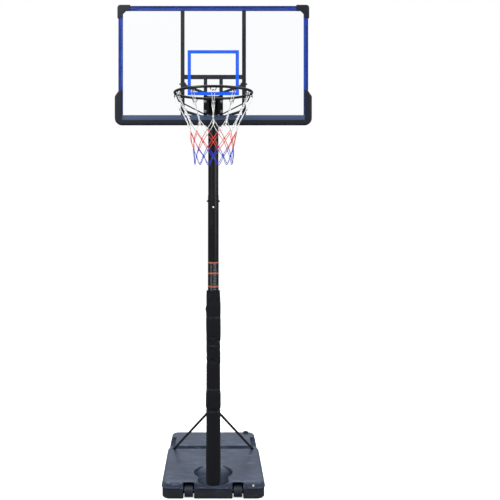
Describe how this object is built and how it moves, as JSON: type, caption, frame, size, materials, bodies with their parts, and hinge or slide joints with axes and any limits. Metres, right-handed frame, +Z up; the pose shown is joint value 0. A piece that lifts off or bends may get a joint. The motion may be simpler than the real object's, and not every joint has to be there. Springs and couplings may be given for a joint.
{
  "type": "portable basketball hoop",
  "caption": "Free-standing basketball hoop: clear backboard with rim and net on a padded telescoping pole, on a wheeled base tank that is filled with sand or water.",
  "frame": {"origin": "on the floor under the pole's axis", "axes": "+Z up along the pole, -Y towards the player, +X to the right as the player sees it"},
  "size_m": [1.296, 2.045, 3.389],
  "materials": {
    "tank_plastic": "matte",
    "sand": "matte",
    "cap_plastic": "satin",
    "plug_plastic": "satin",
    "seal_rubber": "matte",
    "wheel_plastic": "satin",
    "zinc_steel": "satin",
    "pole_paint": "satin",
    "frame_paint": "satin",
    "blue_paint": "satin",
    "rim_paint": "satin",
    "clear_sheet": "gloss",
    "target_film": "satin",
    "scale_film": "satin",
    "edge_foam": "matte",
    "corner_plastic": "satin",
    "pad_fabric": "matte",
    "net_cord": "matte"
  },
  "bodies": {
    "base": {"base_tank": "tank_plastic", "sand_ballast": "sand", "wheel_axle": "zinc_steel", "axle_retainers": "zinc_steel", "lower_pole": "pole_paint", "middle_pole": "pole_paint", "joint_sleeve": "zinc_steel", "height_scale": "scale_film", "strut_right": "pole_paint", "strut_left": "pole_paint", "strut_bolt": "zinc_steel", "foot_bolts": "zinc_steel", "pole_pad": "pad_fabric"},
    "head": {"upper_pole": "pole_paint", "guide_plug": "cap_plastic", "pole_top_cap": "cap_plastic", "backboard_sheet": "clear_sheet", "target_rectangle": "target_film", "side_rail_right": "blue_paint", "side_rail_left": "blue_paint", "top_rail": "blue_paint", "bottom_rail": "frame_paint", "upright_right": "frame_paint", "upright_left": "frame_paint", "cross_tube": "frame_paint", "rim_support_right": "frame_paint", "rim_support_left": "frame_paint", "sheet_screws": "zinc_steel", "corner_cap_right": "corner_plastic", "corner_cap_left": "corner_plastic", "bottom_pad": "edge_foam", "arm_upper_right": "frame_paint", "arm_upper_left": "frame_paint", "arm_lower_right": "frame_paint", "arm_lower_left": "frame_paint", "arm_spacers": "zinc_steel", "pole_bolts": "zinc_steel", "pole_nuts": "zinc_steel", "arm_bolts": "zinc_steel", "arm_nuts": "zinc_steel", "rim_ring": "rim_paint", "rim_bracket": "rim_paint", "rim_braces": "rim_paint", "net_hooks": "rim_paint", "rim_bolts": "zinc_steel", "rim_nuts": "zinc_steel", "net": "net_cord"},
    "fill_cap": {"fill_cap": "cap_plastic", "cap_seal": "seal_rubber"},
    "drain_plug": {"drain_plug": "plug_plastic"},
    "wheel_right": {"wheel_right": "wheel_plastic"},
    "wheel_left": {"wheel_left": "wheel_plastic"},
    "lock_screw_right": {"lock_screw_right": "zinc_steel"},
    "lock_screw_left": {"lock_screw_left": "zinc_steel"}
  },
  "joints": [
    {"name": "height_slide", "type": "slide", "parent": "base", "child": "head", "axis": [0, 0, 1], "range_m": [-0.45, 0.3]},
    {"name": "wheel_right_spin", "type": "hinge", "parent": "base", "child": "wheel_right", "pos_m": [0.174, 0, 0.045], "axis": [1, 0, 0], "continuous": true},
    {"name": "wheel_left_spin", "type": "hinge", "parent": "base", "child": "wheel_left", "pos_m": [-0.174, 0, 0.045], "axis": [1, 0, 0], "continuous": true},
    {"name": "fill_cap_turn", "type": "hinge", "parent": "base", "child": "fill_cap", "pos_m": [0.276, 1.008, 0.13], "axis": [0, 0, 1], "continuous": true},
    {"name": "drain_plug_turn", "type": "hinge", "parent": "base", "child": "drain_plug", "pos_m": [0.282, -0.044, 0.097], "axis": [0, -1, 0], "continuous": true},
    {"name": "lock_screw_right_turn", "type": "hinge", "parent": "base", "child": "lock_screw_right", "pos_m": [0.041, 0, 2.101], "axis": [1, 0, 0], "continuous": true},
    {"name": "lock_screw_left_turn", "type": "hinge", "parent": "base", "child": "lock_screw_left", "pos_m": [-0.041, 0, 2.101], "axis": [-1, 0, 0], "continuous": true}
  ]
}
